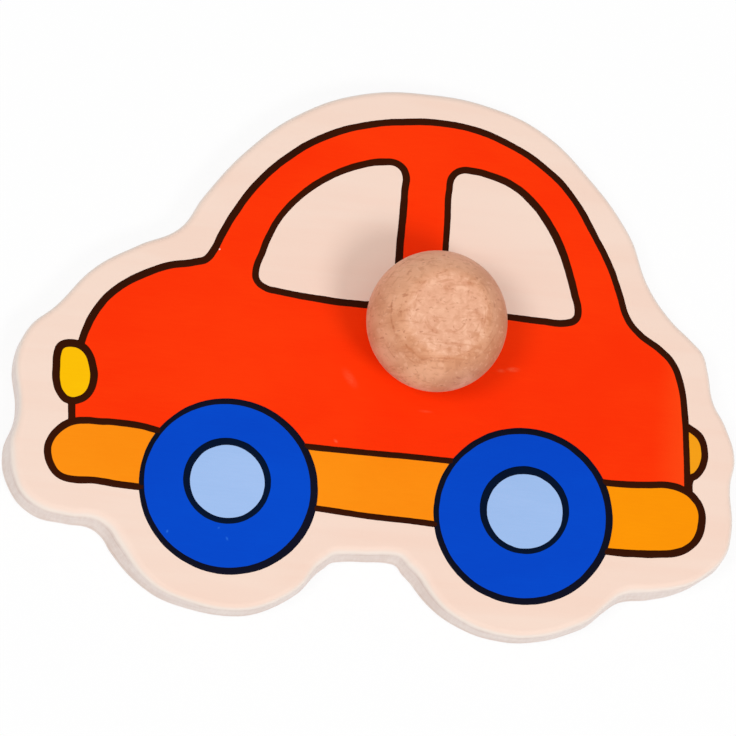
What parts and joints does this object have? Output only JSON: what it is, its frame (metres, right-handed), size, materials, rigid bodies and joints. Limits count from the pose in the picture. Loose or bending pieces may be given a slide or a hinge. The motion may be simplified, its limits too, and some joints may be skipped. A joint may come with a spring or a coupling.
{
  "type": "wooden puzzle piece",
  "caption": "Car-shaped lift-out piece of a toddler's peg puzzle: rounded plywood board, printed car, turned beech knob screwed on from the back.",
  "frame": {"origin": "middle of the board's box in plan, on the plane of the board's flat back", "axes": "+X along the car's length towards its boot, +Y up the picture, +Z out of the picture through the knob"},
  "size_m": [0.1046, 0.078, 0.023],
  "materials": {
    "face_birch": "satin",
    "core_birch": "matte",
    "back_birch": "satin",
    "turned_beech": "satin",
    "zinc_steel": "satin",
    "red_print": "satin",
    "orange_print": "satin",
    "yellow_print": "satin",
    "blue_print": "satin",
    "pale_blue_print": "satin",
    "dark_print": "satin"
  },
  "bodies": {
    "root": {"face_ply": "face_birch", "core_ply": "core_birch", "back_ply": "back_birch", "knob": "turned_beech", "knob_screw": "zinc_steel"}
  },
  "joints": []
}
